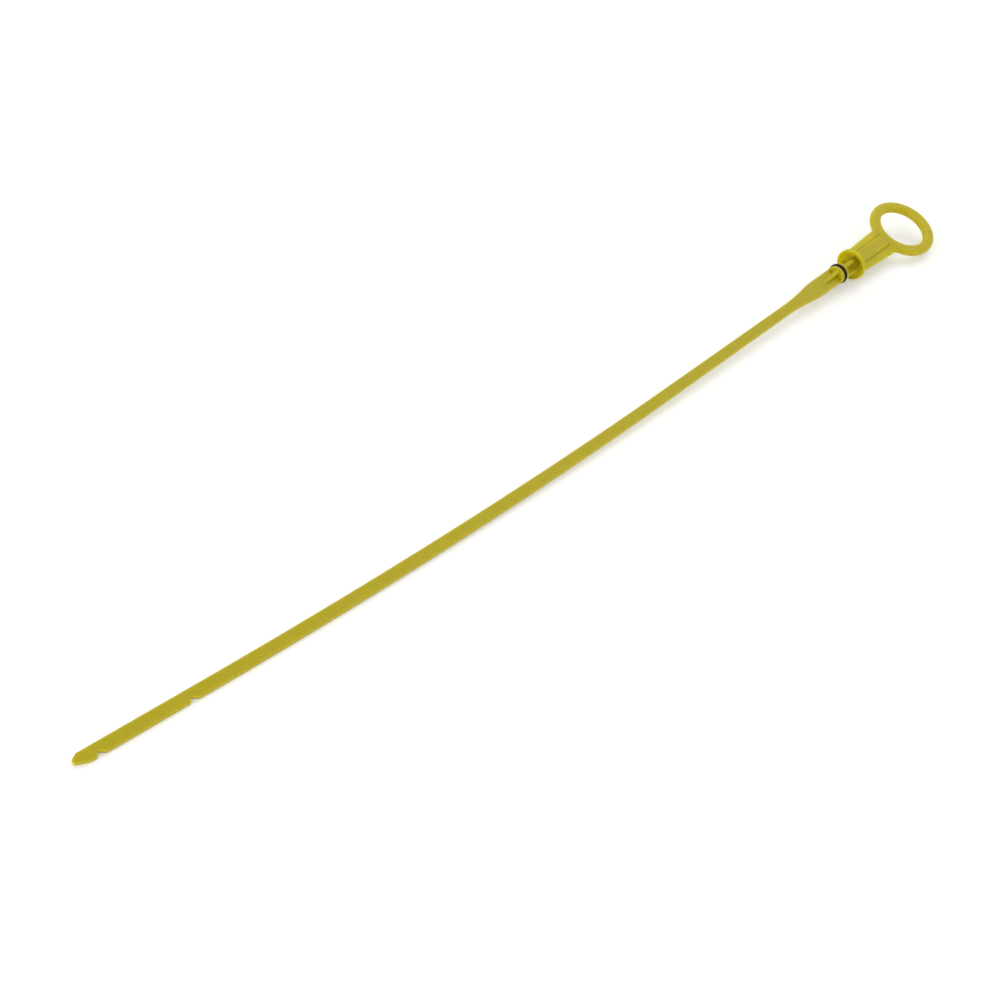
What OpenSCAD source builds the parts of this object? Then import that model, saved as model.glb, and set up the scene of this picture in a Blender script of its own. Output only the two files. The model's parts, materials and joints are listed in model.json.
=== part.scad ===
// Engine oil dipstick: a ring-pull handle with a cup, a moulded stick with a
// cross-ribbed plug, and the o-ring that seals the plug in the dipstick tube.
// The part lies as it comes to rest: +X runs along the stick towards the ring,
// and the origin is the centre of the cup's mouth, where the tube ends.

/* [Ring] */
// Outer diameter of the finger ring
ring_od = 34.2; // [26:0.2:46]
// Diameter of the finger hole
ring_hole_d = 23.6; // [18:0.2:25]
// Thickness of the ring and of the panel along the neck
ring_t = 3.8; // [3.6:0.1:5]
// Rounding of the ring's edges
ring_edge_r = 1.5; // [0.6:0.1:1.7]
// From the cup's mouth to the middle of the ring
ring_x = 46.4; // [40:0.2:70]

/* [Neck] */
// Width of the neck where it leaves the cup
neck_cup_w = 12.9; // [11:0.1:14]
// Width of the neck where it runs into the ring
neck_ring_w = 15.9; // [13:0.1:20]
// Half thickness of the neck's crowned body at its middle
neck_crown_z = 1.3; // [1.2:0.05:1.6]
// Radius of the crown across the neck
neck_crown_r = 45; // [32:1:60]
// Fillet between the neck and the ring
neck_fillet_r = 2.4; // [0.8:0.1:4]
// Width of the raised panel along the neck
panel_w = 6.8; // [6.6:0.1:8]

/* [Cup] */
// Outer diameter of the cup's lip
cup_od = 15.4; // [14:0.1:20]
// Wall of the cup
cup_wall = 1.1; // [0.8:0.1:1.6]
// Length of the lip's straight side
cup_lip_l = 1.6; // [0.4:0.1:2]
// Depth of the cup
cup_depth = 3.6; // [2.6:0.1:4]
// Length of the cone that carries the cup behind its lip
cup_cone_l = 6; // [5:0.1:9]

/* [Plug] */
// Diameter of the plug's flanges and cross ribs
plug_d = 9.1; // [8.4:0.1:10]
// Thickness of the cross ribs
rib_t = 1.8; // [1.4:0.1:2.4]
// How far the corners of ribs and web stay inside the rim of the flanges
rib_inset = 0.1; // [0.05:0.01:0.3]
// Gap between the cup's mouth and the end of the cross ribs
rib_gap = 0.6; // [0.3:0.1:2]
// Length of the cross ribs between the cup and the plug's first flange
rib_l = 7.5; // [5:0.1:12]
// Thickness of the flange on the ring's side of the o-ring
flange_back_t = 1.45; // [1:0.05:3]
// Thickness of the flange on the tip's side of the o-ring
flange_front_t = 1.8; // [1:0.05:3]
// Length of the tapering rib in front of the plug
ramp_l = 12.6; // [8:0.1:20]
// Diameter of the round stem between the cross ribs and the cup's floor
stem_d = 4.8; // [4:0.1:5.6]

/* [O-ring] */
// Wire thickness of the o-ring
oring_wire = 1.8; // [1.4:0.05:2.2]
// Outer diameter of the o-ring
oring_od = 10.1; // [9.7:0.05:11]
// Spare width of the groove beside the o-ring
groove_play = 0.3; // [0.1:0.05:0.8]
// Gap between the o-ring and the groove's floor
groove_gap = 0.05; // [0.03:0.01:0.1]

/* [Blade] */
// Width of the blade
blade_w = 5; // [4:0.1:6]
// Thickness of the blade
blade_t = 1.8; // [1.4:0.1:2.4]
// From the cup's mouth to the blade's tip, along the stick
blade_l = 440; // [330:0.2:600]
// Length of the shoulder that narrows from the plug's width
shoulder_l = 11; // [8:0.5:14]
// Length of the hollow curve from the shoulder to the blade
waist_l = 17; // [12:0.5:24]
// From the cup's mouth to the start of the bow
bow_x = 142.7; // [90:0.5:180]
// Radius of the bow, seen on the blade's flat face
bow_r = 3075; // [1500:25:6000]
// Length of the straight end that carries the tip and the marks
end_l = 48.2; // [48.2:0.2:80]

/* [Tip and marks] */
// Width of the blunt end
tip_w = 1.7; // [1:0.1:3]
// How far the blunt end sits off the blade's middle
tip_offset = 0.25; // [-0.5:0.05:0.5]
// Length of the tip's bevel on the notched edge
tip_near_l = 5.2; // [3:0.1:6]
// Length of the tip's bevel on the plain edge
tip_far_l = 2.4; // [1:0.1:4]
// From the tip to the low mark's notch
low_mark = 7.8; // [6.5:0.1:15]
// From the tip to the full mark's notch
full_mark = 44.3; // [20:0.1:44.3]
// Depth of a notch
notch_d = 1.8; // [0.6:0.1:2.2]
// Length of a notch's steep wall
notch_wall_l = 0.8; // [0.2:0.1:1.5]
// Length of a notch's sloping floor
notch_floor_l = 2.9; // [1.5:0.1:3.5]

/* [Joint between stick and handle] */
// Length of the flat tang inside the neck
tang_l = 18; // [8:0.5:20]
// Clearance round the tang
tang_gap = 0.1; // [0.05:0.01:0.15]

/* [Rest] */
// Turn about the stick's axis when it lies on a table
rest_roll = 17.25; // [0:0.05:30]
// Slope of the stick's axis down to the tip
rest_pitch = 1.36; // [0:0.01:3]

/* [Hidden] */
$fn = 96;
// The crown across the neck is a short piece of a large circle
CROWN_FN = 256;
// How far a cut reaches past the surface that it cuts
CUT = 1;
// How far the fillet's circle bites into the neck's side and the ring that it runs into
BITE = 0.01;
// Points along each curve of the blade's outline
NARROW_STEPS = 12;
BOW_STEPS = 48;

ring_r = ring_od / 2;
hole_r = ring_hole_d / 2;
ring_section_r = (ring_r + hole_r) / 2;

// Cup: the cone's slope, and its wall measured across the axis
cup_r = cup_od / 2;
cup_inner_r = cup_r - cup_wall;
cone_end_x = cup_lip_l + cup_cone_l;
cone_end_r = ring_t / 2 + 0.2;
cone_slope = (cup_r - cone_end_r) / cup_cone_l;
cone_wall = cup_wall * sqrt(1 + pow(cone_slope, 2));
cone_bend_x = cup_lip_l - (cone_wall - cup_wall) / cone_slope;
function cone_inner_r(x) = cup_r - cone_slope * (x - cup_lip_l) - cone_wall;

// Neck: its straight side, and the fillet circle that touches side and ring
neck_slope = (neck_ring_w - neck_cup_w) / 2 / (ring_x - ring_r);
function neck_y(x) = neck_cup_w / 2 + neck_slope * x;
side_k = sqrt(1 + pow(neck_slope, 2));
fillet_b = neck_y(ring_x) + neck_fillet_r * side_k;
fillet_d = ring_r + neck_fillet_r;
fillet_u = (fillet_b * neck_slope + sqrt(pow(side_k * fillet_d, 2) - pow(fillet_b, 2))) / pow(side_k, 2);
fillet_x = ring_x - fillet_u;
fillet_y = fillet_b - neck_slope * fillet_u;

// Plug: plates whose long edges end just inside the flanges' rim
plug_r = plug_d / 2;
stem_r = stem_d / 2;
rib_r = sqrt(pow(plug_r - rib_inset, 2) - pow(rib_t / 2, 2));
web_r = sqrt(pow(plug_r - rib_inset, 2) - pow(blade_t / 2, 2));
oring_r = (oring_od - oring_wire) / 2;
groove_r = oring_r - oring_wire / 2 - groove_gap;
groove_w = oring_wire + groove_play;

// Stations along the axis, from the cup's mouth towards the tip
rib_x = -rib_gap;
flange_back_x = rib_x - rib_l;
groove_x = flange_back_x - flange_back_t;
flange_front_x = groove_x - groove_w;
ramp_x = flange_front_x - flange_front_t;
shoulder_x = ramp_x - ramp_l;
waist_x = shoulder_x - shoulder_l;

// Shoulder and waist are two arcs that meet with one slope
narrow_h = web_r - blade_w / 2;
shoulder_h = narrow_h * shoulder_l / (shoulder_l + waist_l);
waist_h = narrow_h - shoulder_h;
shoulder_r = (pow(shoulder_l, 2) + pow(shoulder_h, 2)) / (2 * shoulder_h);
waist_r = (pow(waist_l, 2) + pow(waist_h, 2)) / (2 * waist_h);

bow_l = blade_l - bow_x - end_l;

// The point at distance s along the stick and y across it: straight, then the bow, then straight
function bow_turn(s) = min(max(s - bow_x, 0), bow_l) / bow_r * 180 / PI;
function bent(s, y) =
    let (a = bow_turn(s), rest = s < bow_x ? s - bow_x : max(s - bow_x - bow_l, 0))
    [-bow_x - (bow_r - y) * sin(a) - rest * cos(a), bow_r - (bow_r - y) * cos(a) + rest * sin(a)];

function shoulder_y(u) = web_r - shoulder_r + sqrt(pow(shoulder_r, 2) - pow(u, 2));
function waist_y(u) = blade_w / 2 + waist_r - sqrt(pow(waist_r, 2) - pow(waist_l - u, 2));

// One edge of the blade from the plug to the start of its straight end, as distance along and half width
side_edge = concat(
    [[-ramp_x, web_r]],
    [for (i = [0:NARROW_STEPS]) let (u = shoulder_l * i / NARROW_STEPS) [u - shoulder_x, shoulder_y(u)]],
    [for (i = [1:NARROW_STEPS]) let (u = waist_l * i / NARROW_STEPS) [u - waist_x, waist_y(u)]],
    [for (i = [0:BOW_STEPS]) [bow_x + bow_l * i / BOW_STEPS, blade_w / 2]]
);

function notch(from_tip) =
    let (wall = blade_l - from_tip)
    [
        [wall - notch_wall_l - notch_floor_l, blade_w / 2],
        [wall - notch_wall_l, blade_w / 2 - notch_d],
        [wall, blade_w / 2]
    ];
notched_end = concat(
    notch(full_mark),
    notch(low_mark),
    [[blade_l - tip_near_l, blade_w / 2], [blade_l, tip_w / 2 - tip_offset]]
);
plain_end = [[blade_l - tip_far_l, blade_w / 2], [blade_l, tip_w / 2 + tip_offset]];

handle_colour = "#bfb132";
stick_colour = "#b8aa33";
rubber_colour = "#1f1f21";

module at_rest() {
    rotate([0, -rest_pitch, 0])
        rotate([rest_roll, 0, 0])
            children();
}

// Turns a profile drawn as radius across and distance up into a solid about the stick's axis
module turned() {
    rotate([0, 90, 0])
        rotate_extrude()
            children();
}

// A round bar along the axis from x0 to x1
module bar(x0, x1, r) {
    translate([x0, 0, 0])
        rotate([0, 90, 0])
            cylinder(h = x1 - x0, r = r);
}

// A rectangular bar along the axis from x0 to x1
module strip(x0, x1, w, t) {
    translate([x0, -w / 2, -t / 2])
        cube([x1 - x0, w, t]);
}

module rounded_section(w, h, r) {
    square([w - 2 * r, h], center = true);
    square([w, h - 2 * r], center = true);
    for (x = [-1, 1], y = [-1, 1])
        translate([x * (w / 2 - r), y * (h / 2 - r)])
            circle(r);
}

module finger_ring() {
    translate([ring_x, 0, 0])
        rotate_extrude()
            translate([ring_section_r, 0])
                rounded_section(ring_r - hole_r, ring_t, ring_edge_r);
}

// Half of the neck's outline, with the fillet that runs it into the ring
module neck_half_plan() {
    touch_side = [fillet_x + neck_fillet_r * neck_slope / side_k, fillet_y - neck_fillet_r / side_k];
    touch_ring = [ring_x - fillet_u * ring_r / fillet_d, fillet_y * ring_r / fillet_d];
    difference() {
        polygon([
            [cup_lip_l, 0], [cup_lip_l, neck_y(cup_lip_l)], touch_side,
            [fillet_x, fillet_y], touch_ring, [ring_x, 0]
        ]);
        translate([fillet_x, fillet_y])
            circle(neck_fillet_r + BITE);
    }
}

// Section across the neck: a crowned body with a raised flat panel on both faces
module neck_section() {
    intersection_for(side = [-1, 1])
        translate([0, side * (neck_crown_r - neck_crown_z)])
            circle(neck_crown_r, $fn = CROWN_FN);
    square([panel_w, ring_t], center = true);
}

module neck() {
    difference() {
        intersection() {
            linear_extrude(height = ring_t, center = true) {
                neck_half_plan();
                mirror([0, 1])
                    neck_half_plan();
            }
            rotate([90, 0, 90])
                linear_extrude(height = ring_x)
                    neck_section();
        }
        translate([ring_x, 0, 0])
            cylinder(h = ring_t + 2 * CUT, r = hole_r + ring_edge_r, center = true);
    }
}

module cup_body() {
    turned()
        polygon([
            [0, 0], [cup_r, 0], [cup_r, cup_lip_l],
            [cone_end_r, cone_end_x], [0, cone_end_x]
        ]);
}

module cup_hollow() {
    turned()
        polygon([
            [0, -CUT], [cup_inner_r, -CUT], [cup_inner_r, cone_bend_x],
            [cone_inner_r(cup_depth), cup_depth], [0, cup_depth]
        ]);
}

module handle() {
    color(handle_colour)
        at_rest()
            difference() {
                union() {
                    finger_ring();
                    neck();
                    cup_body();
                }
                cup_hollow();
                strip(0, cup_depth + tang_l + tang_gap, blade_w + 2 * tang_gap, blade_t + 2 * tang_gap);
            }
}

// Tang, stem, cross ribs and the two flanges with the groove between them
module plug() {
    strip(cup_depth, cup_depth + tang_l, blade_w, blade_t);
    bar(rib_x, cup_depth, stem_r);
    strip(flange_back_x, rib_x, 2 * web_r, blade_t);
    strip(flange_back_x, rib_x, rib_t, 2 * rib_r);
    bar(groove_x, flange_back_x, plug_r);
    bar(flange_front_x, groove_x, groove_r);
    bar(ramp_x, flange_front_x, plug_r);
}

// Rib in front of the plug that runs down into both faces of the web
module ramp_rib() {
    rotate([90, 0, 0])
        linear_extrude(height = rib_t, center = true)
            polygon([
                [ramp_x, -rib_r], [ramp_x, rib_r],
                [shoulder_x, blade_t / 2], [shoulder_x, -blade_t / 2]
            ]);
}

// Blade with the web in front of the plug, cut to its outline
module blade() {
    near = [for (p = concat(side_edge, notched_end)) bent(p[0], -p[1])];
    far = [for (p = concat(side_edge, plain_end)) bent(p[0], p[1])];
    linear_extrude(height = blade_t, center = true)
        polygon([for (p = near) p, for (i = [len(far) - 1:-1:0]) far[i]]);
}

module stick() {
    color(stick_colour)
        at_rest() {
            plug();
            ramp_rib();
            blade();
        }
}

module o_ring() {
    color(rubber_colour)
        at_rest()
            translate([groove_x - groove_w / 2, 0, 0])
                turned()
                    translate([oring_r, 0])
                        circle(oring_wire / 2);
}

handle();
stick();
o_ring();
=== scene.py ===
import json
import math
import bmesh
import bpy
import numpy as np
from mathutils import Matrix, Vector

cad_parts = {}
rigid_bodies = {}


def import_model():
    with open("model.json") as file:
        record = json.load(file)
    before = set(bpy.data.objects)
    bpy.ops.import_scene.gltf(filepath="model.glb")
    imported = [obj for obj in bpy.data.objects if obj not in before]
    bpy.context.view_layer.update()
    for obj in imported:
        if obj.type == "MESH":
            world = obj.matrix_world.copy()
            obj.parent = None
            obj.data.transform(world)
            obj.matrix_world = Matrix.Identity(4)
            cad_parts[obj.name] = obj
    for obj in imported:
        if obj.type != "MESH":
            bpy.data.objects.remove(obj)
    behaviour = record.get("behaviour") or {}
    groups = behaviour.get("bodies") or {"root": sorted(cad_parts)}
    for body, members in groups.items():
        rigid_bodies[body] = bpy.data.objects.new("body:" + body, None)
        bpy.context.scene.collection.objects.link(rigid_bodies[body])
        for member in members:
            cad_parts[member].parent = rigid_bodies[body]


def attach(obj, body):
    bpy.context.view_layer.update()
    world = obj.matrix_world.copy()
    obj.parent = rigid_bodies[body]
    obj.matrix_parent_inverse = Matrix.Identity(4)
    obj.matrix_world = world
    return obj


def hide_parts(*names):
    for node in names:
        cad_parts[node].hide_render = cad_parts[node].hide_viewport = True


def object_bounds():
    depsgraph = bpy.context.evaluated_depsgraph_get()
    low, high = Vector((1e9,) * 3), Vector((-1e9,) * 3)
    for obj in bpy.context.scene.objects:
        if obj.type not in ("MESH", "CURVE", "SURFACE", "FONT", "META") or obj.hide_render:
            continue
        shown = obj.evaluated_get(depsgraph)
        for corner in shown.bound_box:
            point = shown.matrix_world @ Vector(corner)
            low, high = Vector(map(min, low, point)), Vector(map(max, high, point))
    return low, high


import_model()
cadLow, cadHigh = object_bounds()
scene = bpy.context.scene
print("frame loaded")

# Shapes are worked out in millimetres along the stick: x towards the ring, the ring flat in x and y,
# and zero at the cup's mouth. restTurn then lays them down as the CAD part lies.
rest = {"roll": 17.25, "pitch": 1.36}  # degrees about the stick, and down to the tip
sharpDegrees = 32  # a fold steeper than this stays a crisp edge


def restTurn(points):
    # turn by roll about x, then by minus pitch about y, and millimetres to metres
    roll, pitch = math.radians(rest["roll"]), math.radians(-rest["pitch"])
    aboutX = np.array([[1, 0, 0],
                       [0, math.cos(roll), -math.sin(roll)],
                       [0, math.sin(roll), math.cos(roll)]])
    aboutY = np.array([[math.cos(pitch), 0, math.sin(pitch)],
                       [0, 1, 0],
                       [-math.sin(pitch), 0, math.cos(pitch)]])
    return points @ (aboutY @ aboutX).T / 1000


def gridFaces(rows, columns, wrapRows):
    # quads between neighbouring points of a grid that closes round its columns, and its rows if asked
    i, j = np.meshgrid(np.arange(rows if wrapRows else rows - 1), np.arange(columns), indexing="ij")
    nextI, nextJ = (i + 1) % rows, (j + 1) % columns
    corners = (i * columns + j, i * columns + nextJ, nextI * columns + nextJ, nextI * columns + j)
    return [tuple(face) for face in np.stack(corners, -1).reshape(-1, 4).tolist()]


def loopMesh(points, wrapRows=False):
    # points is rows x columns x 3; a grid that doesn't wrap is closed by one face on each end
    rows, columns = points.shape[:2]
    faces = gridFaces(rows, columns, wrapRows)
    if not wrapRows:
        faces.append(tuple(reversed(range(columns))))
        faces.append(tuple(range((rows - 1) * columns, rows * columns)))
    return points.reshape(-1, 3), faces


def roundCorners(corners, radii, steps=6):
    # each corner of a closed outline becomes an arc: its centre lies on the corner's bisector, at the
    # radius from both sides, and the arc runs between the two points where it touches them. A corner
    # with no radius, and one that is nearly straight, stays a point.
    corners = np.asarray(corners, float)
    out = []
    for k, radius in enumerate(radii):
        before, here, after = corners[k - 1], corners[k], corners[(k + 1) % len(corners)]
        a = (before - here) / np.linalg.norm(before - here)
        b = (after - here) / np.linalg.norm(after - here)
        half = math.acos(np.clip(a @ b, -1, 1)) / 2
        if radius <= 0 or half > math.radians(89):
            out.append(here[None])
            continue
        centre = here + (a + b) / np.linalg.norm(a + b) * radius / math.sin(half)
        first, last = here + a * radius / math.tan(half), here + b * radius / math.tan(half)
        start = math.atan2(*(first - centre)[::-1])
        sweep = (math.atan2(*(last - centre)[::-1]) - start + math.pi) % (2 * math.pi) - math.pi
        angles = start + sweep * np.linspace(0, 1, steps + 1)
        out.append(centre + radius * np.stack([np.cos(angles), np.sin(angles)], -1))
    return np.vstack(out)


def turned(profile, around=128, wrapRows=False):
    # each point of a profile of (along, radius) becomes a circle round the stick's axis; a flat disc
    # closes each end of a profile that doesn't wrap, so such a profile has no point on the axis
    angle = np.linspace(0, 2 * math.pi, around, endpoint=False)[None]
    along, radius = profile[:, 0][:, None], profile[:, 1][:, None]
    points = np.stack([along + 0 * angle, radius * np.cos(angle), radius * np.sin(angle)], -1)
    return loopMesh(points, wrapRows)


def barSection(left, right, low, high, radius, steps=5):
    # for every station, a rectangle from left to right and low to high with its corners rounded:
    # a corner's arc is its centre plus the radius times cosine and sine
    quarter = np.linspace(0, math.pi / 2, steps + 1)
    corners = ((right, high, 1, 1), (left, high, -1, 1), (left, low, -1, -1), (right, low, 1, -1))
    across, up = [], []
    for turn, (edge, top, signAcross, signUp) in enumerate(corners):
        angle = quarter + turn * math.pi / 2
        across.append((edge - signAcross * radius)[:, None] + radius[:, None] * np.cos(angle)[None])
        up.append((top - signUp * radius)[:, None] + radius[:, None] * np.sin(angle)[None])
    return np.concatenate(across, 1), np.concatenate(up, 1)


def bar(stations, left, right, low, high, radius, place):
    # a rounded rectangle carried along the stick; its first and last stations draw in as quarter
    # circles, and place turns (along, across, up) into points
    stations, left, right, low, high = np.broadcast_arrays(stations, left, right, low, high)
    turn = np.linspace(0, math.pi / 2, 6)
    drawIn, shift = radius * (1 - np.sin(turn)), radius * (1 - np.cos(turn))
    s = np.concatenate([stations[0] + shift, stations[1:-1], (stations[-1] - shift)[::-1]])

    def ends(values, sign):
        first, last = values[0] + sign * drawIn, values[-1] + sign * drawIn
        return np.concatenate([first, values[1:-1], last[::-1]])

    across, up = barSection(ends(left, 1), ends(right, -1), ends(low, 1), ends(high, -1),
                            np.full(len(s), radius))
    return loopMesh(place(np.repeat(s[:, None], across.shape[1], 1), across, up))


def shellObject(name, shell):
    points, faces = shell
    mesh = bpy.data.meshes.new(name)
    mesh.from_pydata(restTurn(points).tolist(), [], faces)
    mesh.update()
    return bpy.data.objects.new(name, mesh)


def mergeSlivers(mesh, reach=0.000003):
    # corners less than 3 micrometres apart, where two shells cross, become one
    work = bmesh.new()
    work.from_mesh(mesh)
    bmesh.ops.remove_doubles(work, verts=work.verts, dist=reach)
    bmesh.ops.dissolve_degenerate(work, edges=work.edges, dist=reach / 10)
    work.to_mesh(mesh)
    work.free()


def fuseShells(piece, shells):
    # the closed shells of one moulding become one skin with nothing inside it
    parts = bpy.data.collections.new(piece.name + "Shells")
    for shell in shells:
        parts.objects.link(shellObject(piece.name + "Shell", shell))
    fuse = piece.modifiers.new("fuse", "BOOLEAN")
    fuse.operation, fuse.operand_type, fuse.solver = "UNION", "COLLECTION", "EXACT"
    fuse.collection = parts
    evaluated = piece.evaluated_get(bpy.context.evaluated_depsgraph_get())
    fused = bpy.data.meshes.new_from_object(evaluated)
    piece.modifiers.clear()
    piece.data = fused
    for part in list(parts.objects):
        bpy.data.objects.remove(part)
    bpy.data.collections.remove(parts)
    mergeSlivers(piece.data)


def makePiece(name, shells, material, replaced):
    piece = shellObject(name, shells[0])
    scene.collection.objects.link(piece)
    if len(shells) > 1:
        fuseShells(piece, shells[1:])
    mesh = piece.data
    mesh.name = name
    mesh.materials.clear()
    mesh.materials.append(material)
    mesh.shade_smooth()
    mesh.set_sharp_from_angle(angle=math.radians(sharpDegrees))
    piece.modifiers.new("flats", "WEIGHTED_NORMAL").keep_sharp = True
    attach(piece, "root")
    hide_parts(replaced)
    print("made", name, len(mesh.polygons), "faces")


# Materials

noiseSpan = (0.3, 0.7)  # nearly all of a noise texture's values lie between these


def hexColour(text):
    # sRGB hex to the linear values that the shader takes
    values = [int(text[k:k + 2], 16) / 255 for k in (1, 3, 5)]
    return [v / 12.92 if v <= 0.04045 else ((v + 0.055) / 1.055) ** 2.4 for v in values] + [1.0]


def addNode(tree, kind, settings=None, inputs=None):
    node = tree.nodes.new(kind)
    for key, value in (settings or {}).items():
        setattr(node, key, value)
    for key, value in (inputs or {}).items():
        if isinstance(value, bpy.types.NodeSocket):
            tree.links.new(value, node.inputs[key])
        else:
            node.inputs[key].default_value = value
    return node


def newMaterial(name):
    material = bpy.data.materials.new(name)
    material.use_nodes = True
    material.node_tree.nodes.clear()
    return material, material.node_tree


# Injection-moulded nylon: an even satin skin with a fine spark-eroded grain over a faint unevenness,
# slightly paler where the melt flowed, and light that travels some millimetres inside it
handleLook = {
    "deep": "#b9ae0c", "pale": "#c2b715", "flowMm": 7.0,
    "grainMm": 0.35, "grainDepthMm": 0.004, "waveMm": 5.0, "waveDepthMm": 0.02,
    "roughness": (0.42, 0.54), "ior": 1.53, "sheen": 0.3,
    "inside": 1.0, "insideReach": (1.0, 0.85, 0.12), "insideMm": 8.0,
}
# the stick is a second moulding of it, in which light travels less far
stickLook = {**handleLook, "deep": "#bdb00a", "pale": "#c6b913", "insideMm": 2.2}


def mouldedNylon(name, look):
    material, tree = newMaterial(name)
    place = addNode(tree, "ShaderNodeTexCoord").outputs["Object"]
    flow = addNode(tree, "ShaderNodeTexNoise", inputs={
        "Vector": place, "Scale": 1000 / look["flowMm"], "Detail": 3.0, "Roughness": 0.5})
    colour = addNode(tree, "ShaderNodeMix", {"data_type": "RGBA"}, {"Factor": flow.outputs["Fac"]})
    colour.inputs["A"].default_value = hexColour(look["deep"])
    colour.inputs["B"].default_value = hexColour(look["pale"])
    grain = addNode(tree, "ShaderNodeTexNoise", inputs={
        "Vector": place, "Scale": 1000 / look["grainMm"], "Detail": 4.0, "Roughness": 0.6})
    wave = addNode(tree, "ShaderNodeTexNoise", inputs={
        "Vector": place, "Scale": 1000 / look["waveMm"], "Detail": 1.0})
    gloss = addNode(tree, "ShaderNodeMapRange", inputs={
        "Value": grain.outputs["Fac"], "From Min": noiseSpan[0], "From Max": noiseSpan[1],
        "To Min": look["roughness"][0], "To Max": look["roughness"][1]})
    soft = addNode(tree, "ShaderNodeBump", inputs={
        "Height": wave.outputs["Fac"], "Distance": look["waveDepthMm"] / 1000, "Strength": 1.0})
    fine = addNode(tree, "ShaderNodeBump", inputs={
        "Height": grain.outputs["Fac"], "Distance": look["grainDepthMm"] / 1000, "Strength": 1.0,
        "Normal": soft.outputs["Normal"]})
    skin = addNode(tree, "ShaderNodeBsdfPrincipled", inputs={
        "Base Color": colour.outputs["Result"], "Roughness": gloss.outputs["Result"],
        "Normal": fine.outputs["Normal"], "IOR": look["ior"], "Specular IOR Level": look["sheen"],
        "Subsurface Weight": look["inside"], "Subsurface Radius": look["insideReach"],
        "Subsurface Scale": look["insideMm"] / 1000})
    addNode(tree, "ShaderNodeOutputMaterial", inputs={"Surface": skin.outputs["BSDF"]})
    return material


# Compression-moulded nitrile rubber: near black and dull, with a faint oily sheen and fine dust in it
rubberLook = {
    "deep": "#100e09", "pale": "#1d1b14", "dustMm": 0.5, "grainMm": 0.2, "grainDepthMm": 0.006,
    "roughness": (0.5, 0.7), "ior": 1.52, "sheen": 0.18,
}


def mouldedRubber(name, look):
    material, tree = newMaterial(name)
    place = addNode(tree, "ShaderNodeTexCoord").outputs["Object"]
    dust = addNode(tree, "ShaderNodeTexNoise", inputs={
        "Vector": place, "Scale": 1000 / look["dustMm"], "Detail": 5.0, "Roughness": 0.65})
    colour = addNode(tree, "ShaderNodeMix", {"data_type": "RGBA"}, {"Factor": dust.outputs["Fac"]})
    colour.inputs["A"].default_value = hexColour(look["deep"])
    colour.inputs["B"].default_value = hexColour(look["pale"])
    gloss = addNode(tree, "ShaderNodeMapRange", inputs={
        "Value": dust.outputs["Fac"], "From Min": noiseSpan[0], "From Max": noiseSpan[1],
        "To Min": look["roughness"][0], "To Max": look["roughness"][1]})
    grain = addNode(tree, "ShaderNodeTexNoise", inputs={
        "Vector": place, "Scale": 1000 / look["grainMm"], "Detail": 3.0})
    fine = addNode(tree, "ShaderNodeBump", inputs={
        "Height": grain.outputs["Fac"], "Distance": look["grainDepthMm"] / 1000, "Strength": 1.0})
    skin = addNode(tree, "ShaderNodeBsdfPrincipled", inputs={
        "Base Color": colour.outputs["Result"], "Roughness": gloss.outputs["Result"],
        "Normal": fine.outputs["Normal"], "IOR": look["ior"], "Specular IOR Level": look["sheen"]})
    addNode(tree, "ShaderNodeOutputMaterial", inputs={"Surface": skin.outputs["BSDF"]})
    return material


handleNylon = mouldedNylon("moulded nylon, handle", handleLook)
stickNylon = mouldedNylon("moulded nylon, stick", stickLook)
sealRubber = mouldedRubber("moulded nitrile rubber", rubberLook)
print("materials ready")

# Handle: finger ring, neck and cup

# in millimetres: a name with X is a place along the stick, and one with Round is a corner's radius
handle = {
    "ringX": 46.4, "ringOuter": 17.1, "ringInner": 11.8, "ringHalf": 1.9, "ringRound": 1.5,
    "neckX": 1.6, "neckStarts": (1.7, 4.6), "clearX": 8.0, "flareX": 28.0, "neckEndX": 32.3,
    "neckAtCup": 6.45, "neckSlope": 1.5 / 29.3, "neckRound": 0.5,
    "fillet": 2.4, "filletX": 29.895, "filletY": 10.383, "filletLead": 0.13, "ringBite": 0.05,
    "panelHalf": 3.4, "panelTop": 1.89, "panelStep": 0.5,
    "crown": 1.3, "crownRadius": 45.0, "channel": 0.5, "channelWidth": 1.1, "rise": 2.5,
    "cupOuter": 7.7, "cupWall": 1.1, "wallShare": 0.7, "cupDepth": 3.6, "lip": 1.6,
    "coneEndX": 7.6, "coneEndRadius": 2.1,
    "floorRound": 0.4, "bendRound": 0.6, "lipRound": 0.35, "coneRound": 0.5, "coneEndRound": 0.2,
}


def smooth(t):
    # a step from 0 to 1 that is level at both ends
    t = np.clip(t, 0, 1)
    return t ** 2 * (3 - 2 * t)


def ringShell():
    # the rounded section of the ring, turned about the ring's own axis
    h = handle
    section = roundCorners(
        [(h["ringInner"], -h["ringHalf"]), (h["ringOuter"], -h["ringHalf"]),
         (h["ringOuter"], h["ringHalf"]), (h["ringInner"], h["ringHalf"])], [h["ringRound"]] * 4, 10)
    angle = np.linspace(0, 2 * math.pi, 180, endpoint=False)[:, None]
    radius, up = section[:, 0][None], section[:, 1][None]
    points = np.stack(
        [h["ringX"] + radius * np.cos(angle), radius * np.sin(angle), up + 0 * angle], -1)
    return loopMesh(points[::-1], wrapRows=True)


def coneSlope():
    return (handle["cupOuter"] - handle["coneEndRadius"]) / (handle["coneEndX"] - handle["lip"])


def neckHalfWidth(x):
    # a straight taper, then the fillet's circle, and at last just inside the ring's outer edge
    h = handle
    taper = h["neckAtCup"] + h["neckSlope"] * x
    offset = np.clip(x - h["filletX"], -h["fillet"], h["fillet"])
    arc = h["filletY"] - np.sqrt(h["fillet"] ** 2 - offset ** 2)
    flared = np.where(x > h["filletX"] - h["filletLead"], np.maximum(taper, arc), taper)
    inRing = h["filletY"] * h["ringOuter"] / (h["ringOuter"] + h["fillet"]) - h["ringBite"]
    return np.minimum(flared, inRing)


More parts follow.
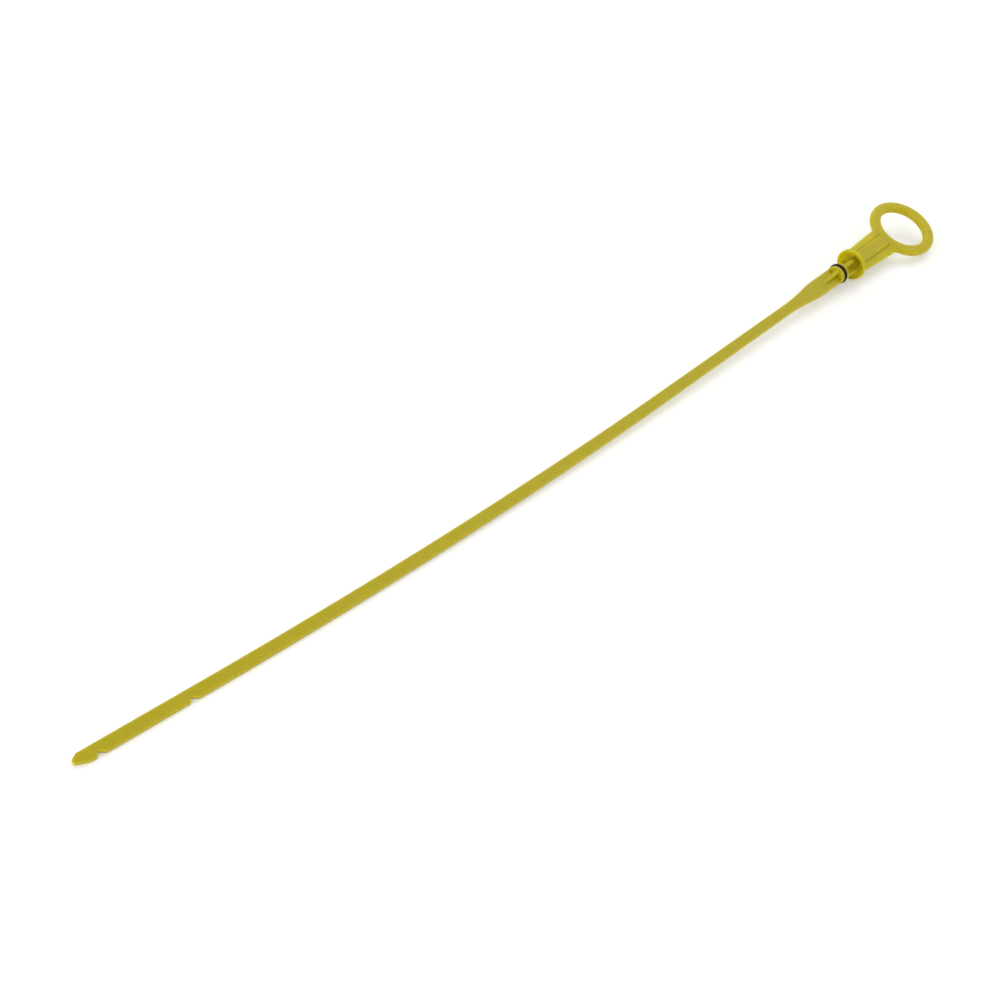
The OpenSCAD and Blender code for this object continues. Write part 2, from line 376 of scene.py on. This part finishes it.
def neckHeight(x, across):
    # a flat panel that drops in a smooth step to a crown of large radius, with a shallow channel at its
    # foot; near the ring the crown rises in a smooth step to the panel's height
    h = handle
    crown = h["crown"] - h["crownRadius"] + np.sqrt(h["crownRadius"] ** 2 - across ** 2)
    crown -= h["channel"] * np.exp(-np.clip(across - h["panelHalf"], 0, None) / h["channelWidth"])
    blend = smooth((across - h["panelHalf"] + h["panelStep"]) / h["panelStep"])
    up = h["panelTop"] * (1 - blend) + crown * blend
    insideRing = h["ringOuter"] - np.hypot(x - h["ringX"], across)
    return up + (h["panelTop"] - up) * smooth((insideRing + h["rise"]) / (h["rise"] + h["ringRound"]))


def neckShell():
    # a quarter of each row runs over the panel's top, its step and the crown, and rounds over at the
    # edge as a quarter ellipse; it is then mirrored to the other three quarters. The first rows start
    # on the middle of the cup's wall, so nothing shows inside the cup.
    h = handle
    x = np.concatenate([
        np.linspace(h["neckX"], h["clearX"], 14), np.linspace(h["clearX"] + 1, h["flareX"], 20),
        np.linspace(h["flareX"] + 0.2, h["neckEndX"], 26)])[:, None]
    flare = smooth((x - h["flareX"]) / (h["neckEndX"] - h["flareX"]))
    rimRound = h["neckRound"] + (h["ringRound"] - h["neckRound"]) * flare
    edge = neckHalfWidth(x) - rimRound
    panelEdge = h["panelHalf"] - h["panelStep"]
    panel = np.concatenate([np.linspace(0, panelEdge, 5)[:-1],
                            panelEdge + h["panelStep"] * np.linspace(0, 1, 9)])
    beside = h["panelHalf"] + np.linspace(0, 1, 14)[1:] * (edge - h["panelHalf"])
    across = np.concatenate([np.repeat(panel[None], len(x), 0), beside], 1)
    up = neckHeight(x, across)
    turn = np.linspace(0, math.pi / 2, 10)[1:]
    across = np.concatenate([across, edge + rimRound * np.sin(turn)], 1)
    up = np.concatenate([up, up[:, -1:] * np.cos(turn)], 1)
    across = np.concatenate(
        [across[:, ::-1], -across[:, 1:], -across[:, -2::-1], across[:, 1:-1]], 1)
    up = np.concatenate([up[:, ::-1], up[:, 1:], -up[:, -2::-1], -up[:, 1:-1]], 1)
    wallRadius = h["cupOuter"] - h["cupWall"] * h["wallShare"]
    start = np.clip(h["lip"] + (wallRadius - np.hypot(across, up)) / coneSlope(), *h["neckStarts"])
    along = np.repeat(x, across.shape[1], 1)
    drawn = start + (along - h["neckX"]) * (h["clearX"] - start) / (h["clearX"] - h["neckX"])
    along = np.where(along < h["clearX"], drawn, along)
    return loopMesh(np.stack([along, across, up], -1)[:, ::-1])


def cupShell():
    # floor, inner wall, lip and outer cone as one profile of (along, radius); its two points on the axis
    # only guide the corners next to them
    h = handle
    wallAcross = h["cupWall"] * math.sqrt(1 + coneSlope() ** 2)
    inside = h["cupOuter"] - h["cupWall"]
    bendX = h["lip"] - (wallAcross - h["cupWall"]) / coneSlope()
    floorRadius = h["cupOuter"] - coneSlope() * (h["cupDepth"] - h["lip"]) - wallAcross
    profile = roundCorners(
        [(h["cupDepth"], 0), (h["cupDepth"], floorRadius), (bendX, inside), (0, inside),
         (0, h["cupOuter"]), (h["lip"], h["cupOuter"]), (h["coneEndX"], h["coneEndRadius"]),
         (h["coneEndX"], 0)],
        [0, h["floorRound"], h["bendRound"], h["lipRound"],
         h["lipRound"], h["coneRound"], h["coneEndRound"], 0])
    return turned(profile[1:-1])


makePiece("fingerHandle", [ringShell(), neckShell(), cupShell()], handleNylon,
          "handle")

# Stick: plug, ramp rib and blade

# in millimetres, with X and Round as for the handle; marks, tipNear, tipFar and the places with From or
# To are counted from the tip back, a Step is the distance between rows, and fine rows begin before a
# notch, run on after it and stop one lastRow short of the tip
stick = {
    "plug": 4.55, "rib": 0.9, "ribX": -0.6, "ribEdge": 4.358, "edgeRound": 0.22, "overlap": 0.5,
    "flangeBackX": -8.1, "grooveX": -9.55, "flangeFrontX": -11.65, "grooveRadius": 3.2,
    "flangeRound": 0.16, "grooveRound": 0.1,
    "stem": 2.4, "stemRound": 0.12, "stemLead": 0.05, "cupFloor": 3.6,
    "rampX": -13.45, "ramp": 12.6, "rampDip": 0.25,
    "bladeLead": 0.8, "shoulder": 11.0, "waist": 17.0, "bladeHalf": 2.5, "bladeThick": 0.9,
    "length": 440.0, "bowX": 142.7, "bowRadius": 3075.0, "endLength": 48.2,
    "marks": (44.3, 7.8), "notchDepth": 1.8, "notchWall": 0.8, "notchFloor": 2.9, "soften": 0.2,
    "tipHalf": 0.85, "tipOffset": 0.25, "tipNear": 5.2, "tipFar": 2.4,
    "outlineFrom": 60, "softFrom": 55, "closeFrom": 50, "closeTo": 6,
    "bladeStep": 3.0, "closeStep": 1.0, "notchStep": 0.06, "tipStep": 0.12,
    "before": 0.4, "after": 0.5, "lastRow": 0.25,
}


def bent(along, across, up):
    # distance along the stick and across it to a place: straight, then a circle of the bow's radius,
    # then straight
    b = stick
    bowLength = b["length"] - b["bowX"] - b["endLength"]
    past = along - b["bowX"]
    angle = np.clip(past, 0, bowLength) / b["bowRadius"]
    spare = np.where(past < 0, past, np.maximum(past - bowLength, 0))
    radius = b["bowRadius"] - across
    x = -b["bowX"] - radius * np.sin(angle) - spare * np.cos(angle)
    y = b["bowRadius"] - radius * np.cos(angle) + spare * np.sin(angle)
    return np.stack([x, y, up], -1)


def bladeHalfWidth(s, shoulderStart, waistStart):
    # two arcs of a shoulder and a waist that share one slope, then parallel
    b = stick
    narrowing = b["ribEdge"] - b["bladeHalf"]
    shoulderDrop = narrowing * b["shoulder"] / (b["shoulder"] + b["waist"])
    shoulderRadius = (b["shoulder"] ** 2 + shoulderDrop ** 2) / 2 / shoulderDrop
    waistDrop = narrowing - shoulderDrop
    waistRadius = (b["waist"] ** 2 + waistDrop ** 2) / 2 / waistDrop
    u = np.clip(s - shoulderStart, 0, b["shoulder"])
    v = np.clip(waistStart + b["waist"] - s, 0, b["waist"])
    shoulder = b["ribEdge"] - shoulderRadius + np.sqrt(shoulderRadius ** 2 - u ** 2)
    waist = b["bladeHalf"] + waistRadius - np.sqrt(waistRadius ** 2 - v ** 2)
    return np.where(s < waistStart, shoulder, waist)


def softened(s, knots):
    # an outline of straight sides through the knots, whose corners a short running mean softens
    spread = np.linspace(-stick["soften"], stick["soften"], 13)
    knotS, knotY = zip(*knots)
    return np.interp(s[:, None] + spread[None], knotS, knotY).mean(1)


def bladeShell():
    # the shoulder, the waist and a parallel blade, with the marks cut from the near edge and the two
    # bevels of the tip
    b = stick
    end, half = b["length"], b["bladeHalf"]
    start = -b["rampX"] - b["bladeLead"]
    shoulderStart = -b["rampX"] + b["ramp"]
    waistStart = shoulderStart + b["shoulder"]
    waistEnd = waistStart + b["waist"]
    nearKnots = [(end - b["outlineFrom"], half)]
    fine = []
    for mark in b["marks"]:
        wall = end - mark
        notchStart = wall - b["notchWall"] - b["notchFloor"]
        nearKnots += [(notchStart, half), (wall - b["notchWall"], half - b["notchDepth"]),
                      (wall, half)]
        fine.append(np.arange(notchStart - b["before"], wall + b["after"], b["notchStep"]))
    nearKnots += [(end - b["tipNear"], half), (end, b["tipHalf"] - b["tipOffset"])]
    farKnots = [(end - b["outlineFrom"], half), (end - b["tipFar"], half),
                (end, b["tipHalf"] + b["tipOffset"])]
    tip = np.arange(end - b["tipNear"] - b["before"], end - b["lastRow"], b["tipStep"])
    s = np.unique(np.round(np.concatenate([
        np.linspace(start, shoulderStart, 14), np.linspace(shoulderStart, waistEnd, 60),
        np.arange(waistEnd, end - b["closeFrom"], b["bladeStep"]),
        np.arange(end - b["closeFrom"], end - b["closeTo"], b["closeStep"]),
        *fine, tip, [end]]), 4))
    plain, isPlain = bladeHalfWidth(s, shoulderStart, waistStart), s < end - b["softFrom"]
    near = np.where(isPlain, plain, softened(s, nearKnots))
    far = np.where(isPlain, plain, softened(s, farKnots))
    return bar(s, -near, far, -b["bladeThick"], b["bladeThick"], b["edgeRound"], bent)


def alongStick(along, across, up):
    return np.stack([-along, across, up], -1)


def plugShells():
    # the two plates of the cross, the ramp rib, the flanges with their groove, and the stem in the cup;
    # no two of them end on one plane
    b = stick
    edge = b["edgeRound"]
    ribs = np.linspace(-b["ribX"], -b["flangeBackX"] + b["overlap"], 6)
    rampSpan = (-b["rampX"], -b["rampX"] + b["ramp"])
    ramp = np.linspace(rampSpan[0] - b["overlap"], rampSpan[1], 30)
    rampTop = np.interp(ramp, rampSpan, [b["ribEdge"], b["bladeThick"] - b["rampDip"]])
    flange = roundCorners(
        [(b["rampX"], 0), (b["rampX"], b["plug"]), (b["flangeFrontX"], b["plug"]),
         (b["flangeFrontX"], b["grooveRadius"]), (b["grooveX"], b["grooveRadius"]),
         (b["grooveX"], b["plug"]), (b["flangeBackX"], b["plug"]), (b["flangeBackX"], 0)],
        [0, b["flangeRound"], b["flangeRound"], b["grooveRound"],
         b["grooveRound"], b["flangeRound"], b["flangeRound"], 0])
    stemX = b["ribX"] - b["stemLead"]
    stem = roundCorners(
        [(stemX, 0), (stemX, b["stem"]), (b["cupFloor"], b["stem"]), (b["cupFloor"], 0)],
        [0, b["stemRound"], 0, 0])
    return [
        bar(ribs, -b["ribEdge"], b["ribEdge"], -b["bladeThick"], b["bladeThick"], edge, alongStick),
        bar(ribs, -b["rib"], b["rib"], -b["ribEdge"], b["ribEdge"], edge, alongStick),
        bar(ramp, -b["rib"], b["rib"], -rampTop, rampTop, edge, alongStick),
        turned(flange[1:-1]), turned(stem[1:-1], 64),
    ]


makePiece("gaugeStick", [bladeShell()] + plugShells(), stickNylon,
          "stick")

# Seal, in millimetres: its middle along the stick, and the radii of the ring and its wire

seal = {"x": -10.6, "ring": 4.15, "wire": 0.9}


def sealShell():
    # a circle of the wire's radius turned about the stick's axis, run clockwise to face outwards
    angle = np.linspace(0, -2 * math.pi, 40, endpoint=False)
    along = seal["x"] + seal["wire"] * np.cos(angle)
    radius = seal["ring"] + seal["wire"] * np.sin(angle)
    return turned(np.stack([along, radius], -1), wrapRows=True)


makePiece("sealRing", [sealShell()], sealRubber, "o_ring")

# Camera, from the photograph's viewing angle

# place in millimetres and two directions of the picture, all before the part is laid down; the focal
# length and the shift are in pixels of the picture's width, and the clip distances in metres
view = {
    "place": (-572.285, -140.223, 477.461), "right": (0.6866, -0.67807, 0.26229),
    "down": (-0.47739, -0.69258, -0.54078), "focalPx": 1500, "shiftPx": 0.5, "widthPx": 990,
    "sensorMm": 36, "clip": (0.01, 50),
}


def poseMatrix(side, top, back, place):
    return Matrix([[side[k], top[k], back[k], place[k]] for k in range(3)] + [[0, 0, 0, 1]])


def makeCamera():
    place, right, down = restTurn(np.array([view["place"], view["right"], view["down"]]))
    right = right / np.linalg.norm(right)
    down = down - right * (right @ down)
    down = down / np.linalg.norm(down)
    cameraData = bpy.data.cameras.new("camera")
    cameraData.sensor_width = view["sensorMm"]
    cameraData.lens = view["focalPx"] / view["widthPx"] * view["sensorMm"]
    cameraData.shift_x = -view["shiftPx"] / view["widthPx"]
    cameraData.shift_y = view["shiftPx"] / view["widthPx"]
    cameraData.clip_start, cameraData.clip_end = view["clip"]
    camera = bpy.data.objects.new("camera", cameraData)
    camera.matrix_world = poseMatrix(right, -down, -np.cross(right, down), place)
    scene.collection.objects.link(camera)
    scene.camera = camera


makeCamera()

# Studio, in metres: white floor, soft white room, a large soft lamp high behind the ring, and a low
# one that looks along the stick into the cup

studio = {
    "floorColour": "#fafafa", "floorSize": 12.0, "floorGap": 0.00005, "floorLift": 0.25,
    "room": 0.67,
}
lamps = [
    {"name": "highLamp", "place": (1.1, 0.35, 1.6), "aim": (-0.15, 0, 0), "size": 1.3, "watts": 6.4},
    {"name": "lowLamp", "place": (-1.5, 0, 0.4), "aim": (0, 0, 0), "size": 0.7, "watts": 5.4},
]


def makeFloor():
    # matt white paper, lifted a little where the camera sees it, straight or by way of the part
    half, level = studio["floorSize"] / 2, cadLow[2] - studio["floorGap"]
    mesh = bpy.data.meshes.new("studioFloor")
    corners = [(-half, -half), (half, -half), (half, half), (-half, half)]
    mesh.from_pydata([(x, y, level) for x, y in corners], [], [(0, 1, 2, 3)])
    floor = bpy.data.objects.new("studioFloor", mesh)
    scene.collection.objects.link(floor)
    material, tree = newMaterial("matt white floor")
    rays = addNode(tree, "ShaderNodeLightPath").outputs
    direct = addNode(tree, "ShaderNodeMath", {"operation": "MAXIMUM"},
                     {0: rays["Is Camera Ray"], 1: rays["Is Glossy Ray"]})
    seen = addNode(tree, "ShaderNodeMath", {"operation": "MAXIMUM"},
                   {0: direct.outputs[0], 1: rays["Is Transmission Ray"]})
    lift = addNode(tree, "ShaderNodeMath", {"operation": "MULTIPLY"},
                   {0: seen.outputs[0], 1: studio["floorLift"]})
    paper = addNode(tree, "ShaderNodeBsdfDiffuse", inputs={"Color": hexColour(studio["floorColour"])})
    glow = addNode(tree, "ShaderNodeEmission", inputs={
        "Color": (1, 1, 1, 1), "Strength": lift.outputs[0]})
    both = addNode(tree, "ShaderNodeAddShader", inputs={0: paper.outputs[0], 1: glow.outputs[0]})
    addNode(tree, "ShaderNodeOutputMaterial", inputs={"Surface": both.outputs[0]})
    mesh.materials.append(material)


def makeRoom():
    # the room lights the part at its own level, and is plain white where the camera sees it
    world = bpy.data.worlds.new("soft white room")
    scene.world = world
    world.use_nodes = True
    tree = world.node_tree
    tree.nodes.clear()
    rays = addNode(tree, "ShaderNodeLightPath").outputs
    seen = addNode(tree, "ShaderNodeMath", {"operation": "MAXIMUM"},
                   {0: rays["Is Camera Ray"], 1: rays["Is Transmission Ray"]})
    level = addNode(tree, "ShaderNodeMapRange", inputs={
        "Value": seen.outputs[0], "To Min": studio["room"], "To Max": 1.0})
    room = addNode(tree, "ShaderNodeBackground", inputs={
        "Color": (1, 1, 1, 1), "Strength": level.outputs["Result"]})
    addNode(tree, "ShaderNodeOutputWorld", inputs={"Surface": room.outputs[0]})


def makeLamp(settings):
    # a round soft lamp that faces its aim, its side level
    lampData = bpy.data.lights.new(settings["name"], "AREA")
    lampData.shape, lampData.size, lampData.energy = "DISK", settings["size"], settings["watts"]
    lamp = bpy.data.objects.new(settings["name"], lampData)
    place, aim = np.array(settings["place"]), np.array(settings["aim"])
    back = (place - aim) / np.linalg.norm(place - aim)
    side = np.cross((0, 0, 1), back)
    side = side / np.linalg.norm(side)
    lamp.matrix_world = poseMatrix(side, np.cross(back, side), back, place)
    scene.collection.objects.link(lamp)


makeFloor()
makeRoom()
for settings in lamps:
    makeLamp(settings)
scene.view_settings.view_transform = "Standard"
print("studio ready")
